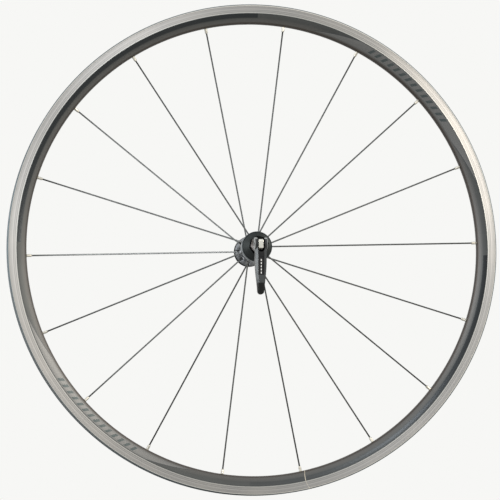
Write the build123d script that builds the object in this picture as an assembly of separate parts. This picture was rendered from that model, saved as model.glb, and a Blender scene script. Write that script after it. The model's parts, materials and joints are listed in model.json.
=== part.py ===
from build123d import *

import os
from math import atan2, cos, degrees, hypot, radians, sin

# Front road-bicycle wheel with radial straight-pull spokes and a quick-release axle.
# Frame: origin at the wheel's centre, +Y along the axle, +Z up, millimetres.
# The quick-release lever is on the -Y side, called left; the adjusting nut is on the right.

# Rim section, radii from the wheel's axis
TYRE_SEAT_R = 311.0        # bead seat, 622 mm across
HOOK_RISE = 6.0            # top of the tyre hooks above the bead seat
RIM_DEPTH = 25.0           # hooks to spoke bed
RIM_WIDTH = 22.0           # over the sidewalls
HOOK_WALL = 2.5            # each hook, from the rim's side to its nose
HOOK_HEIGHT = 2.4          # from the top down to the hook's nose
HOOK_UNDERCUT = 0.8        # how far the hook stands in over the wall
WELL_DEPTH = 3.4           # drop well below the bead seat
WELL_WIDTH = 9.0
BRIDGE_WALL = 1.0          # between tyre channel and hollow chamber
SIDE_WALL = 1.3
BED_WALL = 2.0             # where the nipples bear
BED_WIDTH = 11.0
BED_CROWN = 1.2            # height of the bed's rounded bottom
TRACK_HEIGHT = 9.1         # machined brake track
TRACK_CUT = 0.15           # depth of the machining
SIDE_BULGE = 0.5           # how far the dark sidewall swells over its chord
VALVE_HOLE_R = 3.25
ACCESS_HOLE_R = 4.0        # through the bridge, above each nipple

# Lacing
SPOKE_COUNT = 18
FIRST_SPOKE_DEG = 82.18    # from +X towards +Z, a spoke of the left flange
SPOKE_R = 1.0
SPOKE_HEAD_R = 1.95
SPOKE_HEAD_LENGTH = 1.8
SPOKE_INSET = 7.54         # anchor behind the drum's outer face
ANCHOR_DEPTH = 2.5         # anchor below the drum's surface
HEAD_DEPTH = 4.1           # where the head bears, below the drum's surface
NIPPLE_R = 2.0
NIPPLE_FLATS = 3.4
NIPPLE_HEAD_R = 2.6
NIPPLE_HEAD_LENGTH = 2.0
NIPPLE_PROUD = 6.2         # showing below the rim
NIPPLE_TAPER = 1.6
NIPPLE_TIP_R = 1.45
NIPPLE_HOLE_CLEAR = 0.3
THREAD_CLEAR = 0.02
SPOKE_SLOT_CLEAR = 0.15
HEAD_CLEAR = 0.2

# Bearings, each side
BEARING_R = 11.0
BEARING_BORE_R = 5.0
BEARING_WIDTH = 6.0
BEARING_SET_BACK = 0.4     # behind the dust cover
BALL_R = 1.5875
BALL_COUNT = 9
BALL_CLEAR = 0.04
BALL_SINK = 0.24           # depth of a ball in each ring's track
CAGE_WALL = 0.8
CAGE_CLEAR = 0.4           # cage to seals
CAGE_POCKET_CLEAR = 0.1
SEAL_WALL = 0.5
SEAL_CLEAR = 0.1

# Hub shell and dust covers
OVER_LOCKNUT = 100.0       # width between the fork ends
DRUM_WIDTH = 15.2
DRUM_WALL = 8.5            # drum over the bearing
DRUM_EDGE = 0.9
BODY_WALL = 1.0            # barrel over the bearing
BODY_WAIST = 0.8           # how far the barrel narrows in the middle
SEAT_SHOULDER = 2.8        # step behind each bearing
COVER_LIP = 0.4            # drum's face round the cover
COVER_RECESS = 1.2
COVER_WALL = 1.5
COVER_COLLAR = 1.0         # height of the collar round the spacer
COVER_COLLAR_WALL = 2.1
COVER_GAP = 0.7            # collar to spacer
COVER_NUT_GAP = 0.5        # collar to locknut

# Axle and its nuts
AXLE_STEP = 0.5            # stubs thinner than the bearing's bore
AXLE_SHOULDER = 1.2        # collar between the bearings, over their bore
AXLE_STUB = 5.4            # past each locknut, in the fork end
SPACER_WALL = 1.6          # over the bearing's bore
LOCKNUT_WIDTH = 4.0
LOCKNUT_FLATS = 15.0
NUT_CLEAR = 0.03

# Quick release
ROD_R = 2.5
ROD_PROUD = 2.4            # past the nut's boss
ROD_ROOM = 0.35            # in the axle
ROD_CLEAR = 0.25           # in the cap
FORK_ROOM = 10.6           # locknut to grip face, both sides
CAP_R = 12.6               # over the corners
CAP_SIDES = 8
CAP_TURN_DEG = 12.0        # a corner past the cam pin's line
CAP_HEIGHT = 9.8
CAP_TAPER = 5.0
SPRING_POCKET = 4.2
GRIP_EDGE = 0.56           # wall outside the grip ring, at the flats
GRIP_WIDTH = 2.6           # from the ring's bore to its outside
GRIP_WALL = 2.0
GRIP_PROUD = 0.4
GRIP_TEETH = 20
GRIP_TOOTH = 0.5
NUT_BODY = 10.5            # octagonal part
NUT_TAPER = 12.0
NUT_BOSS_R = 6.2
NUT_BOSS = 4.0
NUT_THREAD_CLEAR = 0.05
WIRE_R = 0.55
SPRING_TURNS = 2.5
SPRING_CLEAR = 0.2
SPRING_SIDE_CLEAR = 0.35   # large end to its pocket

# Lever
LOBE_R = 8.4
LOBE_CLEAR = 0.06
LOBE_NEST = 0.8            # depth of the lobes in the cap
LEVER_WIDTH = 16.0
CAM_THROW = 1.3            # pin to lobe centre
CAM_PIN_R = 2.5
PIN_CLEAR = 0.02
EYE_WIDTH = 6.4
EYE_WALL = 2.25            # each side of the pin's slot
EYE_END = 2.3              # past the slot
EYE_ROUND = 2.6            # corners of its flat end
EYE_NECK = 1.0             # eye to shank
EYE_PLAY_ALONG = 0.4       # pin play along the rod
EYE_PLAY_ACROSS = 0.25
FORK_CLEAR = 1.3           # fork to eye, each side
FORK_FLOOR = 3.7           # fork's floor below the eye
LEVER_REACH = 64.0         # pivot to tip
TIP_R = 4.4
PANEL_WIDTH = 6.0
PANEL_TOP = 16.0           # below the pivot
PANEL_BOTTOM = 42.0
PANEL_DEPTH = 0.4
CROWN_SHARE = 0.55         # flat crown, of an arm section's width
BACK_SHARE = 1.05          # flat back, of its width
BEVEL_SHARE = 0.31         # bevels, of its thickness
# Arm sections from head to tip, as shares: of the reach; crown over the pivot and thickness, of the
# lobes' radius; width, of the lever's width
ARM_SECTIONS = (
    (0.03, 0.93, 1.10, 0.95),
    (0.28, 1.02, 1.20, 0.905),
    (0.50, 1.02, 1.14, 0.85),
    (0.66, 1.00, 1.04, 0.74),
    (0.78, 0.93, 0.94, 0.635),
    (1.02, 0.50, 0.74, 0.53),
)

LEFT, RIGHT = -1, 1
SIDES = {"left": LEFT, "right": RIGHT}

RIM_OUTER_R = TYRE_SEAT_R + HOOK_RISE
RIM_INNER_R = RIM_OUTER_R - RIM_DEPTH
RIM_HALF = RIM_WIDTH / 2
TRACK_TOP_R = RIM_OUTER_R - HOOK_HEIGHT
TRACK_BOTTOM_R = TRACK_TOP_R - TRACK_HEIGHT
WELL_R = TYRE_SEAT_R - WELL_DEPTH
BED_TOP_R = RIM_INNER_R + BED_WALL

LOCKNUT_INNER = OVER_LOCKNUT / 2 - LOCKNUT_WIDTH
COVER_TOP = LOCKNUT_INNER - COVER_NUT_GAP - COVER_COLLAR
COVER_SEAT = COVER_TOP - COVER_WALL
DRUM_OUTER = COVER_SEAT + COVER_RECESS
DRUM_INNER = DRUM_OUTER - DRUM_WIDTH
DRUM_R = BEARING_R + DRUM_WALL
BODY_R = BEARING_R + BODY_WALL
COVER_R = DRUM_R - DRUM_EDGE - COVER_LIP
BEARING_OUTER = COVER_SEAT - BEARING_SET_BACK
BEARING_INNER = BEARING_OUTER - BEARING_WIDTH
BEARING_MID = (BEARING_INNER + BEARING_OUTER) / 2
PITCH_R = (BEARING_R + BEARING_BORE_R) / 2
INNER_RACE_R = PITCH_R - BALL_R + BALL_SINK
OUTER_RACE_R = PITCH_R + BALL_R - BALL_SINK

SPOKE_STEP = 360 / SPOKE_COUNT
ANCHOR_R = DRUM_R - ANCHOR_DEPTH
HEAD_SEAT_R = DRUM_R - HEAD_DEPTH
FLANGE_HALF = DRUM_OUTER - SPOKE_INSET
SPOKE_TILT = atan2(FLANGE_HALF, RIM_INNER_R - ANCHOR_R)

AXLE_END = OVER_LOCKNUT / 2 + AXLE_STUB
AXLE_END_R = BEARING_BORE_R - AXLE_STEP
AXLE_BORE_R = ROD_R + ROD_ROOM
SPACER_R = BEARING_BORE_R + SPACER_WALL
CAP_FACE = OVER_LOCKNUT / 2 + FORK_ROOM
CAP_TOP = CAP_FACE + CAP_HEIGHT
GRIP_R = CAP_R * cos(radians(180 / CAP_SIDES)) - GRIP_EDGE
SPRING_POCKET_R = GRIP_R - GRIP_WIDTH
ROD_END = CAP_FACE + NUT_BODY + NUT_BOSS + ROD_PROUD
PIVOT_Y = -(CAP_TOP + LOBE_R - LOBE_NEST)
PIN_Y = PIVOT_Y - CAM_THROW
PIN_SLOT_WIDE = 2 * (CAM_PIN_R + EYE_PLAY_ALONG)
PIN_SLOT_TALL = 2 * (CAM_PIN_R + CAM_THROW + EYE_PLAY_ACROSS)
EYE_HALF = PIN_SLOT_TALL / 2 + EYE_WALL
EYE_REACH = PIN_SLOT_WIDE / 2 + EYE_END


def turned(points):
    """A solid turned about the axle from (radius, y) points."""
    return revolve(make_face(Polyline(*points, close=True)), Axis.Y)


def ring(inner_r, outer_r, low, high):
    """A plain ring about the axle between two heights on it."""
    return turned([(inner_r, low), (outer_r, low), (outer_r, high), (inner_r, high)])


def rod_along_y(radius, low, high):
    """A solid cylinder on the axle's line."""
    return turned([(0, low), (radius, low), (radius, high), (0, high)])


def bar_along_x(radius, length, y, z=0):
    """A solid cylinder across the axle's line."""
    return Pos(0, y, z) * Rot(0, 90, 0) * Cylinder(radius, length)


def mirrored_face(half_line):
    """The face inside a half outline and its image across the wheel's middle plane."""
    return make_face(half_line + mirror(half_line, about=Plane.XZ))


def bulged(start, end, bulge):
    """An arc from start to end that swells by bulge to the right of its direction."""
    chord = Vector(*end) - Vector(*start)
    middle = (Vector(*start) + Vector(*end)) / 2
    out = Vector(chord.Y, -chord.X).normalized()
    return ThreePointArc(start, middle + out * bulge, end)


def rim_section():
    """Hooked tyre channel, bridge, sidewalls and bed; x is the radius, y the half width."""
    nose = RIM_HALF - HOOK_WALL
    wall = nose + HOOK_UNDERCUT
    lip = HOOK_WALL / 2
    track = RIM_HALF - TRACK_CUT
    corner = (RIM_INNER_R + BED_CROWN, BED_WIDTH / 2)
    side_top = (TRACK_BOTTOM_R - 2 * TRACK_CUT, RIM_HALF)
    channel = Polyline(
        (WELL_R, 0),
        (WELL_R, WELL_WIDTH / 2),
        (TYRE_SEAT_R, WELL_WIDTH / 2 + WELL_DEPTH / 2),
        (TYRE_SEAT_R, wall),
        (TRACK_TOP_R - HOOK_UNDERCUT, wall),
        (TRACK_TOP_R, nose),
        (RIM_OUTER_R - lip, nose),
    )
    hook = ThreePointArc(
        (RIM_OUTER_R - lip, nose), (RIM_OUTER_R, nose + lip), (RIM_OUTER_R - lip, RIM_HALF)
    )
    brake_track = Polyline(
        (RIM_OUTER_R - lip, RIM_HALF), (TRACK_TOP_R, track), (TRACK_BOTTOM_R, track), side_top
    )
    sidewall = bulged(corner, side_top, SIDE_BULGE)
    # the bed is one arc across the middle plane, so its half ends square to that plane
    crown_r = ((BED_WIDTH / 2) ** 2 + BED_CROWN ** 2) / (2 * BED_CROWN)
    half_turn = degrees(atan2(BED_WIDTH / 2, crown_r - BED_CROWN))
    bed = CenterArc((RIM_INNER_R + crown_r, 0), crown_r, 180 - half_turn, half_turn)
    return mirrored_face(channel + hook + brake_track + sidewall + bed)


def chamber_section():
    """The hollow between the bridge and the spoke bed."""
    side = RIM_HALF - TRACK_CUT - SIDE_WALL
    floor_half = BED_WIDTH / 2 - SIDE_WALL
    corner = (BED_TOP_R + BED_CROWN / 2, floor_half)
    side_top = (TRACK_BOTTOM_R - 2 * TRACK_CUT, side)
    roof = Polyline(
        (WELL_R - BRIDGE_WALL, 0),
        (WELL_R - BRIDGE_WALL, WELL_WIDTH / 2),
        (TYRE_SEAT_R - BRIDGE_WALL, WELL_WIDTH / 2 + WELL_DEPTH / 2),
        (TYRE_SEAT_R - BRIDGE_WALL, side),
        side_top,
    )
    sidewall = bulged(corner, side_top, SIDE_BULGE)
    floor = Polyline(corner, (BED_TOP_R, floor_half - BED_CROWN / 2), (BED_TOP_R, 0))
    return mirrored_face(roof + sidewall + floor)


def spoke_angle(index):
    return FIRST_SPOKE_DEG - SPOKE_STEP * index


def spoke_side(index):
    return LEFT if index % 2 == 0 else RIGHT


def spoke_frame(index):
    """Frame on a spoke: origin at its anchor, z outwards along it, x round the wheel."""
    angle = radians(spoke_angle(index))
    side = spoke_side(index)
    outward = Vector(cos(angle), 0, sin(angle))
    along = outward * cos(SPOKE_TILT) + Vector(0, -side * sin(SPOKE_TILT), 0)
    origin = outward * ANCHOR_R + Vector(0, side * FLANGE_HALF, 0)
    return Plane(origin=origin, x_dir=(-sin(angle), 0, cos(angle)), z_dir=along)


def along_spoke(radius):
    """Distance from a spoke's anchor to the point on it at a radius of the wheel."""
    return (radius - ANCHOR_R) / cos(SPOKE_TILT)


def cylinder_between(radius, low, high):
    """A cylinder on the local z axis between two heights."""
    return Pos(0, 0, low) * Cylinder(radius, high - low, align=(Align.CENTER, Align.CENTER, Align.MIN))


def radial_hole(angle_deg, radius, low, high):
    """A cylinder on a radius of the wheel, for a hole through the rim."""
    return Rot(0, 90 - angle_deg, 0) * cylinder_between(radius, low, high)


def rim():
    """The drilled rim."""
    body = revolve(rim_section() - chamber_section(), Axis.Y)
    low = along_spoke(RIM_INNER_R - BED_WALL)
    high = along_spoke(BED_TOP_R + BED_WALL)
    nipple_hole = cylinder_between(NIPPLE_R + NIPPLE_HOLE_CLEAR, low, high)
    cuts = []
    for index in range(SPOKE_COUNT):
        cuts.append(spoke_frame(index) * nipple_hole)
        cuts.append(radial_hole(spoke_angle(index), ACCESS_HOLE_R, WELL_R - 2 * BRIDGE_WALL, TYRE_SEAT_R))
    valve = spoke_angle(0) + SPOKE_STEP / 2
    cuts.append(radial_hole(valve, VALVE_HOLE_R, RIM_INNER_R - BED_WALL, TYRE_SEAT_R))
    return body - cuts


def spoke(index):
    """Straight-pull spoke: a head in the flange and a plain shank up into its nipple."""
    seat = along_spoke(HEAD_SEAT_R)
    top = along_spoke(BED_TOP_R + NIPPLE_HEAD_LENGTH / 2)
    shank = cylinder_between(SPOKE_R, seat, top)
    head = cylinder_between(SPOKE_HEAD_R, seat - SPOKE_HEAD_LENGTH, seat)
    return spoke_frame(index) * (shank + head)


def nipple(index):
    """Nipple: round head on the bed, shank through it, square flats and a tapered tip."""
    # the head's low edge stays above the bed although the spoke leans
    lean = NIPPLE_HEAD_R * sin(SPOKE_TILT)
    under = along_spoke(BED_TOP_R) + lean + HEAD_CLEAR
    flats_top = along_spoke(RIM_INNER_R) - NIPPLE_HOLE_CLEAR
    tip = along_spoke(RIM_INNER_R - NIPPLE_PROUD)
    profile = Polyline(
        (0, tip),
        (NIPPLE_TIP_R, tip),
        (NIPPLE_R, tip + NIPPLE_TAPER),
        (NIPPLE_R, under),
        (NIPPLE_HEAD_R, under),
        (NIPPLE_HEAD_R, under + NIPPLE_HEAD_LENGTH / 2),
        (NIPPLE_R, under + NIPPLE_HEAD_LENGTH),
        (0, under + NIPPLE_HEAD_LENGTH),
        close=True,
    )
    body = revolve(Plane.XZ * make_face(profile), Axis.Z)
    square = Box(NIPPLE_FLATS, NIPPLE_FLATS, flats_top - tip, align=(Align.CENTER, Align.CENTER, Align.MIN))
    collar = cylinder_between(2 * NIPPLE_HEAD_R, flats_top, under + 2 * NIPPLE_HEAD_LENGTH)
    body = body & (Pos(0, 0, tip) * square + collar)
    bore = cylinder_between(SPOKE_R + THREAD_CLEAR, tip, under + NIPPLE_HEAD_LENGTH)
    return spoke_frame(index) * (body - bore)


def keyhole(index):
    """Slot for one spoke and its head, open to the flange's inner face."""
    opening = FLANGE_HALF - DRUM_INNER + 2 * SPOKE_HEAD_R
    # the local y axis that leads to the wheel's middle plane
    inwards = -1 if spoke_side(index) * spoke_frame(index).y_dir.Y > 0 else 1
    seat = along_spoke(HEAD_SEAT_R)
    pieces = []
    for half, low, high in (
        (SPOKE_R + SPOKE_SLOT_CLEAR, seat, along_spoke(DRUM_R + SPOKE_HEAD_R)),
        (SPOKE_HEAD_R + HEAD_CLEAR, seat - SPOKE_HEAD_LENGTH - HEAD_CLEAR, seat),
    ):
        slot = Box(2 * half, opening, high - low, align=(Align.CENTER, Align.MIN, Align.MIN))
        if inwards < 0:
            slot = Rot(0, 0, 180) * slot
        pieces.append(cylinder_between(half, low, high) + Pos(0, 0, low) * slot)
    return spoke_frame(index) * (pieces[0] + pieces[1])


def hub_shell():
    """Waisted barrel with two drum flanges, bearing seats and a keyhole for each spoke."""
    half = [
        (BEARING_R - SEAT_SHOULDER, BEARING_INNER),
        (BEARING_R, BEARING_INNER),
        (BEARING_R, COVER_SEAT),
        (COVER_R, COVER_SEAT),
        (COVER_R, DRUM_OUTER),
        (DRUM_R - DRUM_EDGE, DRUM_OUTER),
        (DRUM_R, DRUM_OUTER - DRUM_EDGE),
        (DRUM_R, DRUM_INNER + DRUM_EDGE),
        (DRUM_R - DRUM_EDGE, DRUM_INNER),
        (BODY_R, DRUM_INNER),
    ]
    other = [(r, -y) for r, y in reversed(half)]
    waist = ThreePointArc((BODY_R, DRUM_INNER), (BODY_R - BODY_WAIST, 0), (BODY_R, -DRUM_INNER))
    outline = Polyline(*half) + waist + Polyline(*other) + Line(other[-1], half[0])
    body = revolve(make_face(outline), Axis.Y)
    return body - [keyhole(index) for index in range(SPOKE_COUNT)]


def dust_cover(side):
    """Dished disc set in the drum's outer face, with a collar round the spacer."""
    edge = COVER_R - THREAD_CLEAR
    hole = SPACER_R + COVER_GAP
    collar = hole + COVER_COLLAR_WALL
    return turned([
        (hole, side * COVER_SEAT),
        (edge, side * COVER_SEAT),
        (edge, side * (COVER_TOP - COVER_WALL / 4)),
        (edge - COVER_WALL / 4, side * COVER_TOP),
        (collar, side * COVER_TOP),
        (collar - COVER_COLLAR / 2, side * (COVER_TOP + COVER_COLLAR)),
        (hole, side * (COVER_TOP + COVER_COLLAR)),
    ])


def groove(side):
    """The ball track, cut into both rings."""
    return revolve(Pos(PITCH_R, side * BEARING_MID) * Circle(BALL_R + BALL_CLEAR), Axis.Y)


def outer_ring(side):
    outside = BEARING_R - THREAD_CLEAR
    return ring(OUTER_RACE_R, outside, side * BEARING_INNER, side * BEARING_OUTER) - groove(side)


def inner_ring(side):
    return ring(BEARING_BORE_R, INNER_RACE_R, side * BEARING_INNER, side * BEARING_OUTER) - groove(side)


def seals(side):
    """Two flat seals that close the gap between the rings, held by the outer ring."""
    inner = INNER_RACE_R + SEAL_CLEAR
    low = BEARING_INNER
    high = BEARING_OUTER - SEAL_WALL
    return [ring(inner, OUTER_RACE_R, side * y, side * (y + SEAL_WALL)) for y in (low, high)]


def around(piece, count):
    """Copies of a piece at even steps round the axle."""
    return [Rot(0, 360 * k / count, 0) * piece for k in range(count)]


def balls():
    """The balls of both bearings."""
    both = []
    for side in SIDES.values():
        both += around(Pos(PITCH_R, side * BEARING_MID, 0) * Sphere(BALL_R), BALL_COUNT)
    return both


def ball_cage(side):
    """Band with a round pocket for each ball."""
    low = BEARING_INNER + SEAL_WALL + CAGE_CLEAR
    high = BEARING_OUTER - SEAL_WALL - CAGE_CLEAR
    band = ring(PITCH_R - CAGE_WALL / 2, PITCH_R + CAGE_WALL / 2, side * low, side * high)
    pocket = Rot(0, 90, 0) * Cylinder(BALL_R + CAGE_POCKET_CLEAR, BALL_R)
    return band - around(Pos(PITCH_R, side * BEARING_MID, 0) * pocket, BALL_COUNT)


def axle():
    """Hollow axle with a shoulder between the bearings and a stub for each fork end."""
    half = [
        (AXLE_END_R, AXLE_END),
        (AXLE_END_R, BEARING_OUTER),
        (BEARING_BORE_R, BEARING_OUTER),
        (BEARING_BORE_R, BEARING_INNER),
        (BEARING_BORE_R + AXLE_SHOULDER, BEARING_INNER),
    ]
    other = [(r, -y) for r, y in reversed(half)]
    return turned(half + other + [(AXLE_BORE_R, -AXLE_END), (AXLE_BORE_R, AXLE_END)])


def spacer(side):
    """Sleeve between the bearing's inner ring and the locknut."""
    return ring(AXLE_END_R + NUT_CLEAR, SPACER_R, side * BEARING_OUTER, side * LOCKNUT_INNER)


def locknut(side):
    """Hexagon nut whose face meets the fork end."""
    hexagon = RegularPolygon(LOCKNUT_FLATS / 2, 6, major_radius=False) - Circle(AXLE_END_R + NUT_CLEAR)
    start = LOCKNUT_INNER if side == LEFT else -OVER_LOCKNUT / 2
    return extrude(Plane.XZ.offset(start) * hexagon, LOCKNUT_WIDTH)


def octagon_body(side, height, taper):
    """Tapered eight-sided body that stands outwards from its grip face."""
    corners = RegularPolygon(CAP_R, CAP_SIDES, rotation=CAP_TURN_DEG)
    body = extrude(Plane.XZ.offset(CAP_FACE) * corners, height, taper=taper)
    return body if side == LEFT else mirror(body, about=Plane.XZ)


def grip_seat(side):
    """Room for the grip ring and, behind it, for the end of the spring."""
    face = side * CAP_FACE
    ring_room = rod_along_y(GRIP_R + NUT_CLEAR, face, face + side * (GRIP_WALL - GRIP_PROUD))
    return ring_room + rod_along_y(SPRING_POCKET_R, face, face + side * SPRING_POCKET)


def qr_cap():
    """Cap on the lever side, with a curved seat for the lever's lobes."""
    body = octagon_body(LEFT, CAP_TOP - CAP_FACE, CAP_TAPER)
    seat = bar_along_x(LOBE_R + LOBE_CLEAR, 3 * CAP_R, PIVOT_Y)
    bore = rod_along_y(ROD_R + ROD_CLEAR, -CAP_TOP, -CAP_FACE)
    return body - [seat, bore, grip_seat(LEFT)]


def adjusting_nut():
    """Eight-sided nut with a round boss, threaded on the rod's right end."""
    top = CAP_FACE + NUT_BODY
    body = octagon_body(RIGHT, NUT_BODY, NUT_TAPER)
    boss = rod_along_y(NUT_BOSS_R, top, top + NUT_BOSS)
    boss = chamfer(boss.edges().sort_by(Axis.Y)[-1], NUT_BOSS / 3)
    thread = rod_along_y(ROD_R + NUT_THREAD_CLEAR, CAP_FACE, ROD_END)
    return body + boss - [thread, grip_seat(RIGHT)]


def grip_ring(side):
    """Steel ring with radial teeth that bite on the fork end."""
    low = CAP_FACE - GRIP_PROUD
    body = ring(SPRING_POCKET_R, GRIP_R, side * low, side * (low + GRIP_WALL))
    notch = Polyline((-GRIP_TOOTH, 0), (GRIP_TOOTH, 0), (0, GRIP_TOOTH), close=True)
    cutter = extrude(Plane.XY * make_face(notch), 2 * GRIP_R)
    if side == LEFT:
        cutter = Rot(0, 0, 180) * cutter
    cutter = Pos(0, side * low, 0) * cutter
    return body - around(cutter, GRIP_TEETH)


def spring(side):
    """Conical spring: its small end on the axle, its large end in the cap or nut."""
    low = AXLE_END + SPRING_CLEAR + WIRE_R
    length = CAP_FACE + SPRING_POCKET - SPRING_CLEAR - WIRE_R - low
    small = (AXLE_BORE_R + AXLE_END_R) / 2
    large = SPRING_POCKET_R - WIRE_R - SPRING_SIDE_CLEAR
    cone = degrees(atan2(large - small, length))
    coil = Helix(length / SPRING_TURNS, length, small, cone_angle=cone)
    start = Plane(origin=coil @ 0, z_dir=coil % 0)
    body = sweep(start * Circle(WIRE_R), path=coil)
    turn = Rot(90, 0, 0) if side == LEFT else Rot(-90, 0, 0)
    return Pos(0, side * low, 0) * turn * body


def skewer_rod():
    """Rod through the axle, with a flat eye for the cam pin on the lever side."""
    shank_top = PIN_Y + EYE_REACH + EYE_NECK
    shank = rod_along_y(ROD_R, shank_top, ROD_END)
    shank = chamfer(shank.edges().sort_by(Axis.Y)[-1], ROD_R / 4)
    # eye outline seen along the pin: a flat end with round corners, narrowing to the shank
    shoulder = PIN_Y + EYE_REACH / 2
    flat_end = PIN_Y - EYE_REACH
    outline = make_face(Polyline(
        (shank_top, ROD_R),
        (shoulder, EYE_HALF),
        (flat_end, EYE_HALF),
        (flat_end, -EYE_HALF),
        (shoulder, -EYE_HALF),
        (shank_top, -ROD_R),
        close=True,
    ))
    outline = fillet(outline.vertices().sort_by(Axis.X)[:2], EYE_ROUND)
    eye = extrude(Plane.YZ.offset(-EYE_WIDTH / 2) * outline, EYE_WIDTH)
    round_eye = eye & rod_along_y(hypot(EYE_HALF, EYE_WIDTH / 2), flat_end, shank_top)
    slot = Pos(PIN_Y, 0) * Rot(0, 0, 90) * SlotOverall(PIN_SLOT_TALL, PIN_SLOT_WIDE)
    hole = extrude(Plane.YZ.offset(-EYE_WIDTH) * slot, 2 * EYE_WIDTH)
    return shank + round_eye - hole


def lever_section(reach_share, crown_share, thick_share, width_share):
    """One cross-section of the lever's arm: a flat crown, two bevels, sides and a flat back."""
    z = -reach_share * LEVER_REACH
    crown = PIVOT_Y - crown_share * LOBE_R
    thick = thick_share * LOBE_R
    half = width_share * LEVER_WIDTH / 2
    flat = CROWN_SHARE * half
    base = BACK_SHARE * half
    bevel = crown + BEVEL_SHARE * thick
    back = crown + thick
    corners = [(-flat, crown), (flat, crown), (half, bevel), (base, back), (-base, back), (-half, bevel)]
    return make_face(Polyline(*[(x, y, z) for x, y in corners], close=True))


def qr_lever():
    """Forked lever: two round lobes, and an arm that narrows and curls in towards its tip."""
    through = 4 * LOBE_R
    from_low = (Align.CENTER, Align.CENTER, Align.MIN)
    arm = loft([lever_section(*row) for row in ARM_SECTIONS])
    tip_round = Rot(90, 0, 0) * Cylinder(TIP_R, through)
    above_tip = Box(2 * LEVER_WIDTH, through, LEVER_REACH, align=from_low)
    arm = arm & (Pos(0, PIVOT_Y, TIP_R - LEVER_REACH) * (tip_round + above_tip))
    body = arm + bar_along_x(LOBE_R, LEVER_WIDTH, PIVOT_Y)
    slot_half = EYE_WIDTH / 2 + FORK_CLEAR
    floor = EYE_HALF + FORK_FLOOR - slot_half
    slot_box = Box(2 * slot_half, through, floor + 2 * LOBE_R, align=from_low)
    slot = Pos(0, PIVOT_Y, -floor) * (slot_box + Rot(90, 0, 0) * Cylinder(slot_half, through))
    pin_hole = bar_along_x(CAM_PIN_R + PIN_CLEAR, 2 * LEVER_WIDTH, PIN_Y)
    panel = Box(PANEL_WIDTH, 2 * PANEL_DEPTH, PANEL_BOTTOM - PANEL_TOP)
    panel = Pos(0, PIVOT_Y - LOBE_R, -(PANEL_TOP + PANEL_BOTTOM) / 2) * panel
    return body - [slot, pin_hole, panel]


def cam_pin():
    """Pin across the lever's fork, set off from the lobes' centre."""
    return bar_along_x(CAM_PIN_R, LEVER_WIDTH - 4 * PIN_CLEAR, PIN_Y)


def nodes():
    """Every piece by its name; a list is a group of like solids."""
    pieces = {
        "rim": rim(),
        "spoke_nipples": [nipple(index) for index in range(SPOKE_COUNT)],
        "hub_shell": hub_shell(),
        "bearing_balls": balls(),
        "axle": axle(),
        "qr_cap": qr_cap(),
        "qr_lever": qr_lever(),
        "cam_pin": cam_pin(),
        "skewer_rod": skewer_rod(),
        "adjusting_nut": adjusting_nut(),
        "cap_grip_ring": grip_ring(LEFT),
        "nut_grip_ring": grip_ring(RIGHT),
        "cap_spring": spring(LEFT),
        "nut_spring": spring(RIGHT),
    }
    for index in range(SPOKE_COUNT):
        pieces[f"spoke_{index + 1:02d}"] = spoke(index)
    for name, side in SIDES.items():
        pieces[f"{name}_dust_cover"] = dust_cover(side)
        pieces[f"{name}_bearing_outer_ring"] = outer_ring(side)
        pieces[f"{name}_bearing_inner_ring"] = inner_ring(side)
        pieces[f"{name}_bearing_seals"] = seals(side)
        pieces[f"{name}_ball_cage"] = ball_cage(side)
        pieces[f"{name}_spacer"] = spacer(side)
        pieces[f"{name}_locknut"] = locknut(side)
    return pieces


os.makedirs("parts", exist_ok=True)
for node, shape in nodes().items():
    if isinstance(shape, list):
        shape = Compound(children=shape)
    export_step(shape, f"parts/{node}.step")
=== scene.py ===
import json

import bmesh
import bpy
import numpy as np
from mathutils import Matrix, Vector


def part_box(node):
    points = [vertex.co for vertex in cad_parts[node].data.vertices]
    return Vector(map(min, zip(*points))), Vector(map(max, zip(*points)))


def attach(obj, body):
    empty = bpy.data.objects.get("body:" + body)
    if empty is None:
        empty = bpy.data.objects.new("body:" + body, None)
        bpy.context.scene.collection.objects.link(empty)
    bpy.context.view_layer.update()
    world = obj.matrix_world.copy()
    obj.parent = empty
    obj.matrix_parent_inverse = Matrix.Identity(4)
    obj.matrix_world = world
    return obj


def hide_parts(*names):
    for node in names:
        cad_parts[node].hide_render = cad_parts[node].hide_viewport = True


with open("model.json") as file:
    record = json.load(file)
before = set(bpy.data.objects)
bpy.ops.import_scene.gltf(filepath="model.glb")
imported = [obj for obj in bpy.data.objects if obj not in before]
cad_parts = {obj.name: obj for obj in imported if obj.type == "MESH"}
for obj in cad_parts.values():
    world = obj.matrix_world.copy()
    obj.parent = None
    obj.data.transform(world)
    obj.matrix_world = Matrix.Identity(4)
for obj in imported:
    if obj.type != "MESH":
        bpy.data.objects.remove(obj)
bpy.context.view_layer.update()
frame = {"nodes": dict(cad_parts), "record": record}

# A bare front road wheel: hooked rim, radial spokes, drum hub and quick release.
# Metres, in the frame of the solids: the axle lies along Y, the lever is on the -Y side.

MM = 0.001

# Rim section in millimetres, from the outer edge of the solid rim inwards
RIM_DEPTH = 25.0
HOOK_RISE = 6.0
HOOK_WALL = 2.5
HOOK_HEIGHT = 2.4
HOOK_UNDERCUT = 0.8
WELL_DEPTH = 3.4
WELL_WIDTH = 9.0
BED_WALL = 2.0
BED_WIDTH = 11.0
BED_CROWN = 1.2
TRACK_HEIGHT = 9.1
TRACK_CUT = 0.15
SIDE_BULGE = 0.5
EDGE_ROUND = 0.35
NIPPLE_HOLE_R = 2.3
ACCESS_HOLE_R = 4.0
RIM_STEPS = 576
RIM_SHARP_DEG = 24
DRILL_SIDES = 32
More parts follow.
